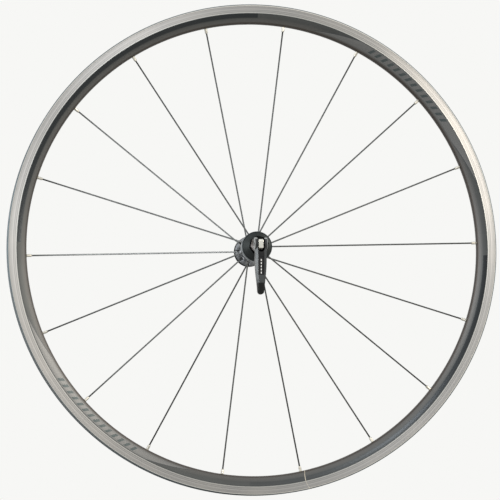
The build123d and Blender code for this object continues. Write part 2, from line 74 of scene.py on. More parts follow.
# Its bands of colour: painted shade in a brown-black line along the inner edge, painted light in the lighter
# zone next to it, painted shade on the shoulder under the track, a painted highlight along the foot of the
# track, the soft start of the pale hook and the hook's darker crest
EDGE_SHADE_BAND = (-2.0, 1.0)
INNER_LIGHT_BAND = 5.0
SHOULDER_SHADE_BAND = (-0.8, 0.4)
FOOT_HIGHLIGHT_BAND = 1.3
HOOK_SOFT = 0.3
CREST_FROM, CREST_FULL = 1.35, 1.05

# Print on each sidewall, in degrees from +X towards +Z and as shares of the sidewall's height: a plain field
# with a row of bars, then a black stripe, and both again half a turn on
FIELD_START_DEG = 77.0
FIELD_END_DEG = 31.5
FIELD_SLANT_DEG = 15.5
FIELD_LOW = 0.2
OUTLINE_DEG = 0.8
PRINT_TOP = 1.1
STRIPE_START_DEG = 89.0
STRIPE_END_DEG = 179.0
STRIPE_LOW = 0.52
STRIPE_GLOSS = 0.17
# The second stripe is worn at its start: how much of it is left there, and from where on it is whole
STRIPE_WORN = 0.25
STRIPE_WHOLE_DEG = -45.0
BARS_START_DEG = 61.0
BARS_END_DEG = 34.5
BAR_SLANT_DEG = 1.7
BAR_COUNT = 14
BAR_SHARE = 0.42
BAR_LOW, BAR_HIGH = 0.32, 0.84

# A pale scratch that runs in a shallow bow across one side of the rim
SCRATCH_DEG = -77.3
SCRATCH_BOW_DEG = 0.4
SCRATCH_WIDTH = 0.4

# Lever, in millimetres of the frame: its black panel and tip, the row of dashes on the panel, and its slot
PANEL_HALF = 3.9
PANEL_Z = (-39.5, -8.0)
PANEL_Y = -83.5
TIP_Z = (-66.0, -49.3)
DASH_Z = (-38.6, -18.6)
DASH_HALF = 0.55
DASH_STEP = 4.0
DASH_SHARE = 0.6
SLOT_HALF = 4.6
SLOT_FLOOR_Z = -5.5
# Its two round lobes: their axis and radius, and where the painted highlight on their edges begins
LOBE_Y = -78.0
LOBE_R = 8.4
LOBE_EDGE_X = 7.4
LOBE_EDGE_Z = 6.8
LEVER_WIDE = 9.0

# Quick-release cap: depth of its grey outer face
CAP_FACE_DEPTH = 0.95

# Hub drums: width, chamfer and the band of painted shade at the far end
DRUM_WIDTH = 15.2
DRUM_EDGE = 0.9
FAR_SHADE_BAND = 13.0

# Camera: fitted to the spokes' ends and the rim's edges
CAMERA_AZIMUTH_DEG = -7.13
CAMERA_ELEVATION_DEG = -4.71
CAMERA_DISTANCE = 5.0
CAMERA_AIM = Vector((-3.70, 0.0, -0.94)) * MM
CAMERA_LENS = 279.3
CAMERA_SENSOR = 36.0

# Lamps: name, place in metres, width, height, watts and tint
LAMPS = [
    ("right_softbox", (1.1, -1.15, 0.6), 0.5, 0.9, 24, "#fff6ea"),
    ("left_softbox", (-1.68, -1.71, 0.55), 0.6, 1.1, 23, "#fdfdff"),
    ("upper_softbox", (-0.45, -1.99, 1.27), 0.5, 0.5, 13, "#fdfdff"),
    ("top_softbox", (0.2, -0.6, 3.0), 2.0, 1.4, 12, "#ffffff"),
    ("left_window", (-2.0, -0.4, 0.2), 0.5, 0.8, 13, "#ffffff"),
]

# Floor, in metres: half its width, and where it starts and ends to fade into the room
FLOOR_HALF = 2.5
FLOOR_FADE = (0.8, 2.4)
# Light of the room on the object; where the room is seen or mirrored it is 1
ROOM_LIGHT = 0.45

SUBPARTS = {row["node"]: row["material_slot"] for row in frame["record"]["subparts"]}
BODY_OF = {node: body for body, nodes in frame["record"]["behaviour"]["bodies"].items() for node in nodes}
SPOKES = sorted(name for name in SUBPARTS if name.startswith("spoke_") and name[-2:].isdigit())
RIM_OUTER_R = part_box("rim")[1].x / MM
RIM_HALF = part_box("rim")[1].y / MM
RIM_INNER_R = RIM_OUTER_R - RIM_DEPTH
SEAT_R = RIM_OUTER_R - HOOK_RISE
WELL_R = SEAT_R - WELL_DEPTH
TRACK_TOP_R = RIM_OUTER_R - HOOK_HEIGHT
TRACK_LOW_R = TRACK_TOP_R - TRACK_HEIGHT
SIDE_LOW_R = RIM_INNER_R + BED_CROWN
CAP_FACE_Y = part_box("qr_cap")[0].y / MM + CAP_FACE_DEPTH
DRUM_END_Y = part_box("hub_shell")[1].y / MM
DRUM_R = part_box("hub_shell")[1].x / MM
VALVE = next(m for m in frame["record"]["mounts"] if m["name"] == "valve_hole")


# Shapes

def bowed(start, end, bulge, steps):
    """Points on a circular arc from start to end that stands a bulge's height to the right of its chord."""
    start, end = np.array(start, float), np.array(end, float)
    chord = end - start
    length = np.hypot(*chord)
    radius = (length ** 2 / 4 + bulge ** 2) / (2 * bulge)
    right = np.array([chord[1], -chord[0]]) / length
    centre = (start + end) / 2 - right * (radius - bulge)
    half = np.arcsin(length / (2 * radius))
    turn = np.linspace(-half, half, steps)[:, None]
    return centre + radius * (np.cos(turn) * right + np.sin(turn) * chord / length)


def filleted(corners, radius, steps=4):
    """A path through corners, where each inner corner is an arc of a radius, tangent to its two runs."""
    corners = np.array(corners, float)
    way = np.diff(corners, axis=0)
    way /= np.hypot(*way.T)[:, None]
    path = [corners[:1]]
    for corner, before, after in zip(corners[1:-1], way[:-1], way[1:]):
        half = np.arccos(np.clip(before @ after, -1, 1)) / 2
        inwards = (after - before) / np.hypot(*(after - before))
        centre = corner + inwards * radius / np.cos(half)
        tangent = (before + after) / np.hypot(*(before + after))
        turn = np.linspace(-half, half, steps)[:, None]
        path.append(centre + radius * (np.sin(turn) * tangent - np.cos(turn) * inwards))
    return np.concatenate(path + [corners[-1:]])


def rim_profile():
    """Half the rim's section as (radius, y) in millimetres, from the well over the hook to the bed's middle,
    and for each run between two points whether it is brake track (1) or anodised (0)."""
    nose = RIM_HALF - HOOK_WALL
    wall = nose + HOOK_UNDERCUT
    lip = HOOK_WALL / 2
    track = RIM_HALF - TRACK_CUT
    channel = filleted([
        (WELL_R, 0), (WELL_R, WELL_WIDTH / 2), (SEAT_R, WELL_WIDTH / 2 + WELL_DEPTH / 2), (SEAT_R, wall),
        (TRACK_TOP_R - HOOK_UNDERCUT, wall), (TRACK_TOP_R, nose), (RIM_OUTER_R - lip, nose),
    ], EDGE_ROUND)
    turn = np.linspace(-90, 90, 14)[1:]
    hook = np.stack([
        RIM_OUTER_R - lip + lip * np.cos(np.radians(turn)),
        nose + lip + lip * np.sin(np.radians(turn)),
    ], 1)
    brake_track = np.stack([np.linspace(TRACK_TOP_R, TRACK_LOW_R, 8), np.full(8, track)], 1)
    side_top = (TRACK_LOW_R - 2 * TRACK_CUT, RIM_HALF)
    sidewall = bowed(side_top, (SIDE_LOW_R, BED_WIDTH / 2), SIDE_BULGE, 14)
    bed = bowed((SIDE_LOW_R, BED_WIDTH / 2), (SIDE_LOW_R, -BED_WIDTH / 2), BED_CROWN, 17)[1:9]
    half = np.concatenate([channel, hook, brake_track, sidewall, bed])
    first = len(channel) + len(hook)
    is_track = np.zeros(len(half) - 1, int)
    is_track[first:first + len(brake_track) - 1] = 1
    return half, is_track


def mesh_piece(name, points, faces, body, slot, *materials):
    """An object at the origin made of points and faces, riding on a body."""
    mesh = bpy.data.meshes.new(name)
    mesh.from_pydata(np.asarray(points).reshape(-1, 3), [], faces)
    piece = bpy.data.objects.new(name, mesh)
    bpy.context.scene.collection.objects.link(piece)
    for material in materials:
        mesh.materials.append(material)
    if body:
        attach(piece, body)
    return piece


def shade(mesh, sharp_deg):
    """Smooth shading, broken at edges that turn by more than an angle."""
    mesh.shade_smooth()
    mesh.set_sharp_from_angle(angle=np.radians(sharp_deg))


def tubes(starts, ends, radii, sides):
    """Closed cylinders: a circle at each start and end, square to the line between them, and flat caps."""
    starts, ends = np.asarray(starts, float), np.asarray(ends, float)
    along = ends - starts
    along /= np.linalg.norm(along, axis=1)[:, None]
    across = np.cross(along, (0.0, 1.0, 0.0))
    across /= np.linalg.norm(across, axis=1)[:, None]
    third = np.cross(along, across)
    turn = np.linspace(0, 2 * np.pi, sides, endpoint=False)
    circle = np.cos(turn)[None, :, None] * across[:, None] + np.sin(turn)[None, :, None] * third[:, None]
    circle *= np.asarray(radii, float)[:, None, None]
    points = np.concatenate([starts[:, None] + circle, ends[:, None] + circle], 1)
    low = np.arange(sides)
    high = np.roll(low, -1)
    walls = np.stack([low, high, high + sides, low + sides], 1)
    faces = []
    for base in 2 * sides * np.arange(len(starts)):
        faces += (walls + base).tolist()
        faces += [(low[::-1] + base).tolist(), (low + sides + base).tolist()]
    return points.reshape(-1, 3), faces


def spoke_line(name):
    """A point on a spoke's axis and its direction outwards: the centre and main axis of its solid."""
    corners = np.array([v.co for v in frame["nodes"][name].data.vertices])
    centre = corners.mean(0)
    along = np.linalg.svd(corners - centre, full_matrices=False)[2][0]
    if along @ (centre * (1, 0, 1)) < 0:
        along = -along
    return centre, along


def at_radius(line, radius_mm):
    """The point of a spoke's line at a radius of the wheel."""
    centre, along = line
    start = np.hypot(centre[0], centre[2])
    outward = np.array([centre[0], 0, centre[2]]) / start
    return centre + along * (radius_mm * MM - start) / (along @ outward)


def cut(piece, points, faces):
    """Cuts closed cylinders out of a piece and keeps the result as its mesh."""
    tool = mesh_piece("drill", points, faces, None, None)
    modifier = piece.modifiers.new("drill", "BOOLEAN")
    modifier.operation = "DIFFERENCE"
    modifier.solver = "EXACT"
    modifier.object = tool
    result = bpy.data.meshes.new_from_object(piece.evaluated_get(bpy.context.evaluated_depsgraph_get()))
    piece.modifiers.clear()
    piece.data = result
    bpy.data.objects.remove(tool)


def make_rim(anodised, machined):
    """The rim: its section carried round the axle in even steps, then drilled for nipples and valve."""
    half, is_track = rim_profile()
    profile = np.concatenate([half, half[-2:0:-1] * (1, -1)]) * MM
    kinds = np.concatenate([is_track, is_track[::-1]])
    turn = np.linspace(0, 2 * np.pi, RIM_STEPS, endpoint=False)
    radius, height = profile.T
    points = np.stack([
        np.outer(np.cos(turn), radius),
        np.tile(height, (RIM_STEPS, 1)),
        np.outer(np.sin(turn), radius),
    ], -1)
    index = np.arange(points[..., 0].size).reshape(points.shape[:2])
    onward = np.roll(index, -1, 1)
    faces = np.stack([index, onward, np.roll(onward, -1, 0), np.roll(index, -1, 0)], -1).reshape(-1, 4)
    rim = mesh_piece("rim_surface", points, faces.tolist(), "wheel", "rim_alloy", anodised, machined)
    rim.data.polygons.foreach_set("material_index", np.tile(kinds, RIM_STEPS))
    lines = [spoke_line(name) for name in SPOKES]
    inner = np.array([at_radius(line, RIM_INNER_R - BED_WALL) for line in lines])
    bed_top = np.array([at_radius(line, RIM_INNER_R + BED_WALL) for line in lines])
    outward = bed_top * (1, 0, 1)
    outward /= np.linalg.norm(outward, axis=1)[:, None]
    floor = outward * (RIM_INNER_R + BED_WALL / 2) * MM
    valve = np.array(VALVE["axis"])
    starts = np.concatenate([floor, [valve * (RIM_INNER_R - BED_WALL) * MM]])
    ends = np.concatenate([outward * SEAT_R * MM, [valve * SEAT_R * MM]])
    radii = [ACCESS_HOLE_R * MM] * len(lines) + [VALVE["dims"]["r_mm"] * MM]
    cut(rim, *tubes(starts, ends, radii, DRILL_SIDES))
    cut(rim, *tubes(inner, bed_top, [NIPPLE_HOLE_R * MM] * len(lines), DRILL_SIDES))
    shade(rim.data, RIM_SHARP_DEG)
    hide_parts("rim")


def smooth_copy(node, material, sharp_deg=35, edge_mm=0.0, beyond_x=None):
    """A solid's own triangles, merged and shaded smooth up to its true edges, which may be broken by a bevel.
    Beyond_x is the distance from the middle plane, in millimetres, from which on edges are broken; all are if
    it is None."""
    work = bmesh.new()
    work.from_mesh(frame["nodes"][node].data)
    bmesh.ops.remove_doubles(work, verts=work.verts, dist=0.002 * MM)
    if edge_mm:
        bmesh.ops.dissolve_limit(work, angle_limit=np.radians(0.4), verts=work.verts, edges=work.edges)
    mesh = bpy.data.meshes.new(node + "_surface")
    work.to_mesh(mesh)
    work.free()
    mesh.materials.clear()
    mesh.materials.append(material)
    shade(mesh, sharp_deg)
    piece = bpy.data.objects.new(node + "_surface", mesh)
    bpy.context.scene.collection.objects.link(piece)
    if edge_mm:
        bevel = piece.modifiers.new("broken_edges", "BEVEL")
        bevel.width = edge_mm * MM
        bevel.segments = 3
        bevel.limit_method = "ANGLE"
        if beyond_x:
            bevel.limit_method = "WEIGHT"
            away = np.abs([vertex.co.x for vertex in mesh.vertices]) > beyond_x * MM
            ends = np.array([edge.vertices[:] for edge in mesh.edges])
            weights = (away[ends].all(1) & [edge.use_edge_sharp for edge in mesh.edges]).astype(np.float32)
            mesh.attributes.new("bevel_weight_edge", "FLOAT", "EDGE").data.foreach_set("value", weights)
        bevel.angle_limit = np.radians(sharp_deg)
        bevel.harden_normals = True
    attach(piece, BODY_OF[node])
    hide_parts(node)


# Materials

def linear(code):
    """Linear colour of an sRGB hex value."""
    channels = np.array([int(code[i:i + 2], 16) for i in (1, 3, 5)]) / 255
    curved = np.where(channels <= 0.04045, channels / 12.92, ((channels + 0.055) / 1.055) ** 2.4)
    return (*curved.tolist(), 1.0)


def add(tree, kind, links=None, out=0, **settings):
    """Adds a node with its settings and gives one of its outputs. Links holds, by input name or number, a
    value or another node's output."""
    new = tree.nodes.new(kind)
    for key, value in settings.items():
        setattr(new, key, value)
    for key, value in (links or {}).items():
        if isinstance(value, bpy.types.NodeSocket):
            tree.links.new(value, new.inputs[key])
        else:
            new.inputs[key].default_value = value
    return new.outputs[out]


def new_finish(name, **constants):
    """A material, its node tree and its shader, whose constant inputs are set on the sockets themselves."""
    material = bpy.data.materials.new(name)
    material.use_nodes = True
    shader = material.node_tree.nodes["Principled BSDF"]
    for key, value in constants.items():
        shader.inputs[key.replace("_", " ")].default_value = value
    return material, material.node_tree, shader


def connect(tree, shader, **outputs):
    """Links outputs to the shader's inputs."""
    for key, output in outputs.items():
        tree.links.new(output, shader.inputs[key.replace("_", " ")])


def wheel_place(tree):
    """Object place in millimetres: the point, its radius from the axle, its angle about it, and its axes."""
    place = add(tree, "ShaderNodeTexCoord", out="Object")
    place = add(tree, "ShaderNodeVectorMath", {0: place, 1: (1 / MM,) * 3}, operation="MULTIPLY")
    flat = add(tree, "ShaderNodeVectorMath", {0: place, 1: (1, 0, 1)}, operation="MULTIPLY")
    radius = add(tree, "ShaderNodeVectorMath", {0: flat}, out="Value", operation="LENGTH")
    axes = add(tree, "ShaderNodeSeparateXYZ", {0: place}).node.outputs
    angle = add(tree, "ShaderNodeMath", {0: axes["Z"], 1: axes["X"]}, operation="ARCTAN2")
    return place, radius, angle, axes


def band(tree, value, low, high, soft):
    """1 between two limits and 0 outside, with soft edges: the product of a rising and a falling ramp."""
    rise = add(tree, "ShaderNodeMapRange",
               {"Value": value, "From Min": low - soft, "From Max": low + soft})
    fall = add(tree, "ShaderNodeMapRange",
               {"Value": value, "From Min": high + soft, "From Max": high - soft})
    return add(tree, "ShaderNodeMath", {0: rise, 1: fall}, operation="MULTIPLY")


def overlap(tree, first, *others):
    """Where all masks are 1: their product."""
    for other in others:
        first = add(tree, "ShaderNodeMath", {0: first, 1: other}, operation="MULTIPLY")
    return first


def hypotenuse(tree, one, other):
    """The length of the long side over two values at a right angle."""
    both = add(tree, "ShaderNodeCombineXYZ", {0: one, 1: other})
    return add(tree, "ShaderNodeVectorMath", {0: both}, out="Value", operation="LENGTH")


def painted(tree, code, *layers):
    """A colour with others laid over it in turn, each one through its own mask."""
    colour = linear(code)
    for mask, code in layers:
        colour = add(tree, "ShaderNodeMix", {0: mask, 6: colour, 7: linear(code)}, out=2, data_type="RGBA")
    return colour


def row_of_bars(tree, value, low, high, step, share):
    """Bars at even steps of a value between two limits: where its saw wave is near its middle, by a share."""
    saw = add(tree, "ShaderNodeMath", {0: value, 1: 1 / step, 2: -low / step}, operation="MULTIPLY_ADD")
    saw = add(tree, "ShaderNodeMath", {0: saw}, operation="FRACT")
    bars = band(tree, saw, 0.5 - share / 2, 0.5 + share / 2, 0.03)
    return overlap(tree, bars, band(tree, value, low, high, 0.01 * step))


def scratch_line(tree, radius, angle):
    """A scratch across the rim: 1 where the way round to it is under half its width. It bows with the square
    of the distance from the middle of the rim's height."""
    middle = (SIDE_LOW_R + TRACK_TOP_R) / 2
    reach = (TRACK_TOP_R - SIDE_LOW_R) / 2
    off = add(tree, "ShaderNodeMath", {0: radius, 1: middle}, operation="SUBTRACT")
    off = add(tree, "ShaderNodeMath", {0: off, 1: 1 / reach}, operation="MULTIPLY")
    square = add(tree, "ShaderNodeMath", {0: off, 1: off}, operation="MULTIPLY")
    line = add(tree, "ShaderNodeMath",
               {0: square, 1: np.radians(SCRATCH_BOW_DEG), 2: np.radians(SCRATCH_DEG)},
               operation="MULTIPLY_ADD")
    away = add(tree, "ShaderNodeMath", {0: angle, 1: line}, operation="SUBTRACT")
    away = add(tree, "ShaderNodeMath", {0: away, 1: radius}, operation="MULTIPLY")
    return band(tree, away, -SCRATCH_WIDTH / 2, SCRATCH_WIDTH / 2, SCRATCH_WIDTH / 4)


def across_the_rings(tree, place):
    """Direction on the surface square to the turning marks, in world space: the normal crossed with the way
    round the axle. A light's image spreads along it."""
    way = add(tree, "ShaderNodeVectorMath", {0: (0, 1, 0), 1: place}, operation="CROSS_PRODUCT")
    way = add(tree, "ShaderNodeVectorTransform", {0: way}, vector_type="VECTOR",
              convert_from="OBJECT", convert_to="WORLD")
    way = add(tree, "ShaderNodeVectorMath", {0: way}, operation="NORMALIZE")
    normal = add(tree, "ShaderNodeNewGeometry", out="Normal")
    return add(tree, "ShaderNodeVectorMath", {0: normal, 1: way}, operation="CROSS_PRODUCT")


def machined_brake_track():
    """Turned aluminium: uncoated metal with fine rings round the axle, which spread each light into a fan, and
    a painted highlight along the foot of the track.
    """
    material, tree, shader = new_finish("machined_aluminium_track", Metallic=1.0, Anisotropic=0.8)
    place, radius, angle, _ = wheel_place(tree)
    # real tool marks are 0.1 mm apart; drawn 2 mm apart so that they show
    rings = add(tree, "ShaderNodeTexNoise", {"W": radius, "Scale": 1 / 2, "Detail": 1.0},
                noise_dimensions="1D")
    rings = add(tree, "ShaderNodeMapRange", {"Value": rings, "From Min": 0.3, "From Max": 0.7})
    stains = add(tree, "ShaderNodeTexNoise", {"Vector": place, "Scale": 1 / 45, "Detail": 1.0})
    worn = add(tree, "ShaderNodeMapRange", {"Value": stains, "From Min": 0.4, "From Max": 0.75})
    # painted highlight: a lighter band along the foot of the track
    foot_highlight = band(tree, radius, TRACK_LOW_R, TRACK_LOW_R + FOOT_HIGHLIGHT_BAND, 0.3)
    scratch = scratch_line(tree, radius, angle)
    colour = painted(tree, "#7d7d7c", (worn, "#8e8c88"), (rings, "#a9a8a6"), (foot_highlight, "#a8a8a5"),
                     (scratch, "#cbc5b8"))
    rough = add(tree, "ShaderNodeMapRange", {"Value": rings, "To Min": 0.4, "To Max": 0.48})
    bump = add(tree, "ShaderNodeBump", {"Height": rings, "Distance": 0.02 * MM, "Strength": 0.2})
    connect(tree, shader, Base_Color=colour, Roughness=rough, Normal=bump,
            Tangent=across_the_rings(tree, place))
    return material


def sidewall_print(tree, radius, angle):
    """Masks of the print: a black stripe on the outer half of the wall, the plain grey field ahead of it, the
    field's outline and its row of bars. The stripe is a band in angle. So is the field, sheared by the height
    on the wall; the bars lean less. All are there twice, half a turn apart, and the second stripe grows in from
    a worn start."""
    height = add(tree, "ShaderNodeMapRange",
                 {"Value": radius, "From Min": SIDE_LOW_R, "From Max": TRACK_LOW_R}, clamp=False)
    half_turn = add(tree, "ShaderNodeMath", {0: angle, 1: np.pi}, operation="FLOORED_MODULO")
    degrees = add(tree, "ShaderNodeMath", {0: half_turn, 1: 180 / np.pi}, operation="MULTIPLY")
    turned = add(tree, "ShaderNodeMath", {0: angle, 1: 180 / np.pi}, operation="MULTIPLY")
    growing = add(tree, "ShaderNodeMapRange", {
        "Value": turned, "From Min": STRIPE_START_DEG - 180, "From Max": STRIPE_WHOLE_DEG,
        "To Min": STRIPE_WORN})
    stripe = overlap(tree, growing, band(tree, degrees, STRIPE_START_DEG, STRIPE_END_DEG, 0.1),
                     band(tree, height, STRIPE_LOW, PRINT_TOP, 0.06))
    sheared = add(tree, "ShaderNodeMath", {0: height, 1: FIELD_SLANT_DEG, 2: degrees},
                  operation="MULTIPLY_ADD")
    field = band(tree, sheared, FIELD_END_DEG, FIELD_START_DEG, 0.1)
    outside = add(tree, "ShaderNodeMath", {0: 1.0, 1: field}, operation="SUBTRACT")
    wider = band(tree, sheared, FIELD_END_DEG - OUTLINE_DEG, FIELD_START_DEG + OUTLINE_DEG, 0.2)
    outline = overlap(tree, wider, outside)
    upper = band(tree, height, FIELD_LOW, PRINT_TOP, 0.06)
    leaning = add(tree, "ShaderNodeMath", {0: height, 1: BAR_SLANT_DEG, 2: degrees},
                  operation="MULTIPLY_ADD")
    step = (BARS_START_DEG - BARS_END_DEG) / BAR_COUNT
    bars = overlap(tree, row_of_bars(tree, leaning, BARS_END_DEG, BARS_START_DEG, step, BAR_SHARE),
                   band(tree, height, BAR_LOW, BAR_HIGH, 0.03))
    return stripe, overlap(tree, field, upper), overlap(tree, outline, upper), bars


def dark_anodised_rim():
    """Dark anodised aluminium: a metal sheen under a grey-black film, with a glossier print on the sidewalls,
    paler where the hooks are handled, painted shade in a brown-black line along the inner edge and on the
    shoulder under the track, and painted light in a lighter zone next to the inner edge."""
    material, tree, shader = new_finish("dark_anodised_aluminium_rim", Metallic=0.85)
    place, radius, angle, _ = wheel_place(tree)
    clouds = add(tree, "ShaderNodeTexNoise", {"Vector": place, "Scale": 1 / 60, "Detail": 5.0})
    # the blasted grit is finer than 0.1 mm; drawn 0.7 mm wide so that it shows
    grit = add(tree, "ShaderNodeTexNoise", {"Vector": place, "Scale": 1 / 0.7, "Detail": 2.0})
    stripe, field, outline, bars = sidewall_print(tree, radius, angle)
    # painted light: a lighter zone next to the inner edge; painted shade: a darker shoulder under the track and
    # a brown-black line along the inner edge
    inner = band(tree, radius, RIM_INNER_R, SIDE_LOW_R + INNER_LIGHT_BAND, 2.0)
    shoulder = band(tree, radius, TRACK_LOW_R + SHOULDER_SHADE_BAND[0], TRACK_LOW_R + SHOULDER_SHADE_BAND[1], 0.3)
    edge = band(tree, radius, SIDE_LOW_R + EDGE_SHADE_BAND[0], SIDE_LOW_R + EDGE_SHADE_BAND[1], 0.4)
    hook = add(tree, "ShaderNodeMapRange",
               {"Value": radius, "From Min": TRACK_TOP_R, "From Max": TRACK_TOP_R + HOOK_SOFT})
    crest = add(tree, "ShaderNodeMapRange", {
        "Value": radius, "From Min": RIM_OUTER_R - CREST_FROM, "From Max": RIM_OUTER_R - CREST_FULL})
    scratch = scratch_line(tree, radius, angle)
    colour = painted(tree, "#353737", (clouds, "#444646"), (inner, "#4b4b4a"), (stripe, "#282b2d"),
                     (field, "#595a5a"), (outline, "#34373a"), (bars, "#3c4243"), (shoulder, "#343839"),
                     (edge, "#3d3936"), (hook, "#a3a29e"), (crest, "#525a5e"), (scratch, "#cfc5b2"))
    rough = add(tree, "ShaderNodeMapRange", {"Value": grit, "To Min": 0.39, "To Max": 0.47})
    rough = add(tree, "ShaderNodeMath", {0: stripe, 1: -STRIPE_GLOSS, 2: rough}, operation="MULTIPLY_ADD")
    bump = add(tree, "ShaderNodeBump", {"Height": grit, "Distance": 0.02 * MM, "Strength": 0.12})
    connect(tree, shader, Base_Color=colour, Roughness=rough, Normal=bump)
    return material


def turned_metal(name, dark, light, rough, ring_mm, anisotropic, milled=None, ends=(), shaded_gloss=None):
    """Metal turned on a lathe: rings round the axle, ring_mm apart, with a fan of light across them. Milled is
    a radius, two distances along the axle and the colour of what lies inside the one and between the others.
    Ends are stretches along the axle with a colour laid over them, which may be painted light or shade: from,
    to, colour. The last argument is a stretch whose reflection at a slant is dimmed as painted shade: from, to,
    tint."""
    material, tree, shader = new_finish(name, Metallic=1.0, Anisotropic=anisotropic)
    place, radius, _, axes = wheel_place(tree)
    along = add(tree, "ShaderNodeMath", {0: radius, 1: axes["Y"]}, operation="ADD")
    rings = add(tree, "ShaderNodeTexNoise", {"W": along, "Scale": 1 / ring_mm, "Detail": 3.0},
                noise_dimensions="1D")
    clouds = add(tree, "ShaderNodeTexNoise", {"Vector": place, "Scale": 1 / 9, "Detail": 4.0})
    share = overlap(tree, rings, clouds)
    share = add(tree, "ShaderNodeMapRange", {"Value": share, "From Min": 0.1, "From Max": 0.45})
    layers = [(share, light)]
    for start, end, code in ends:
        layers.append((band(tree, axes["Y"], start, end, 0.05), code))
    if milled:
        away = add(tree, "ShaderNodeMath", {0: axes["Y"]}, operation="ABSOLUTE")
        inside = add(tree, "ShaderNodeMath", {0: radius, 1: milled[0]}, operation="LESS_THAN")
        layers.append((overlap(tree, band(tree, away, milled[1], milled[2], 0.05), inside), milled[3]))
    spread = add(tree, "ShaderNodeMapRange",
                 {"Value": clouds, "To Min": rough - 0.06, "To Max": rough + 0.06})
    bump = add(tree, "ShaderNodeBump", {"Height": rings, "Distance": 0.02 * MM, "Strength": 0.2})
    # painted shade: the reflection at a slant is dimmed over this stretch
    if shaded_gloss:
        slanted = band(tree, axes["Y"], shaded_gloss[0], shaded_gloss[1], 0.05)
        connect(tree, shader, Specular_Tint=painted(tree, "#ffffff", (slanted, shaded_gloss[2])))
    connect(tree, shader, Base_Color=painted(tree, dark, *layers), Roughness=spread, Normal=bump,
            Tangent=across_the_rings(tree, place))
    return material


def drawn_metal(name, dark, light, rough, grain_mm):
    """Drawn or cast metal: faint clouds in its colour and a fine grain in its gloss."""
    material, tree, shader = new_finish(name, Metallic=1.0)
    place = wheel_place(tree)[0]
    clouds = add(tree, "ShaderNodeTexNoise", {"Vector": place, "Scale": 1 / (12 * grain_mm), "Detail": 4.0})
    grain = add(tree, "ShaderNodeTexNoise", {"Vector": place, "Scale": 1 / grain_mm, "Detail": 2.0})
    spread = add(tree, "ShaderNodeMapRange",
                 {"Value": grain, "To Min": rough - 0.07, "To Max": rough + 0.07})
    bump = add(tree, "ShaderNodeBump", {"Height": grain, "Distance": 0.02 * MM, "Strength": 0.25})
    connect(tree, shader, Base_Color=painted(tree, dark, (clouds, light)), Roughness=spread, Normal=bump)
    return material


def two_tone_cap():
    """Anodised aluminium cap: satin black round its side, its outer face turned back to plain grey beside the
    lever, and painted shade in deep black where the lever covers it."""
    material, tree, shader = new_finish(
        "two_tone_anodised_cap", Metallic=1.0, Specular_Tint=(0.2, 0.2, 0.2, 1.0))
    place, _, _, axes = wheel_place(tree)
    grain = add(tree, "ShaderNodeTexNoise", {"Vector": place, "Scale": 1 / 0.4, "Detail": 2.0})
    face = add(tree, "ShaderNodeMath", {0: axes["Y"], 1: CAP_FACE_Y}, operation="LESS_THAN")
    # painted shade: deep black on the part of the cap under the lever
    lever_shade = add(tree, "ShaderNodeMath", {0: axes["X"], 1: -SLOT_HALF}, operation="GREATER_THAN")
    spread = add(tree, "ShaderNodeMapRange", {"Value": grain, "To Min": 0.32, "To Max": 0.46})
    bump = add(tree, "ShaderNodeBump", {"Height": grain, "Distance": 0.02 * MM, "Strength": 0.25})
    colour = painted(tree, "#232425", (grain, "#2d2e2f"), (face, "#686563"), (lever_shade, "#161717"))
    connect(tree, shader, Base_Color=colour, Roughness=spread, Normal=bump)
    return material


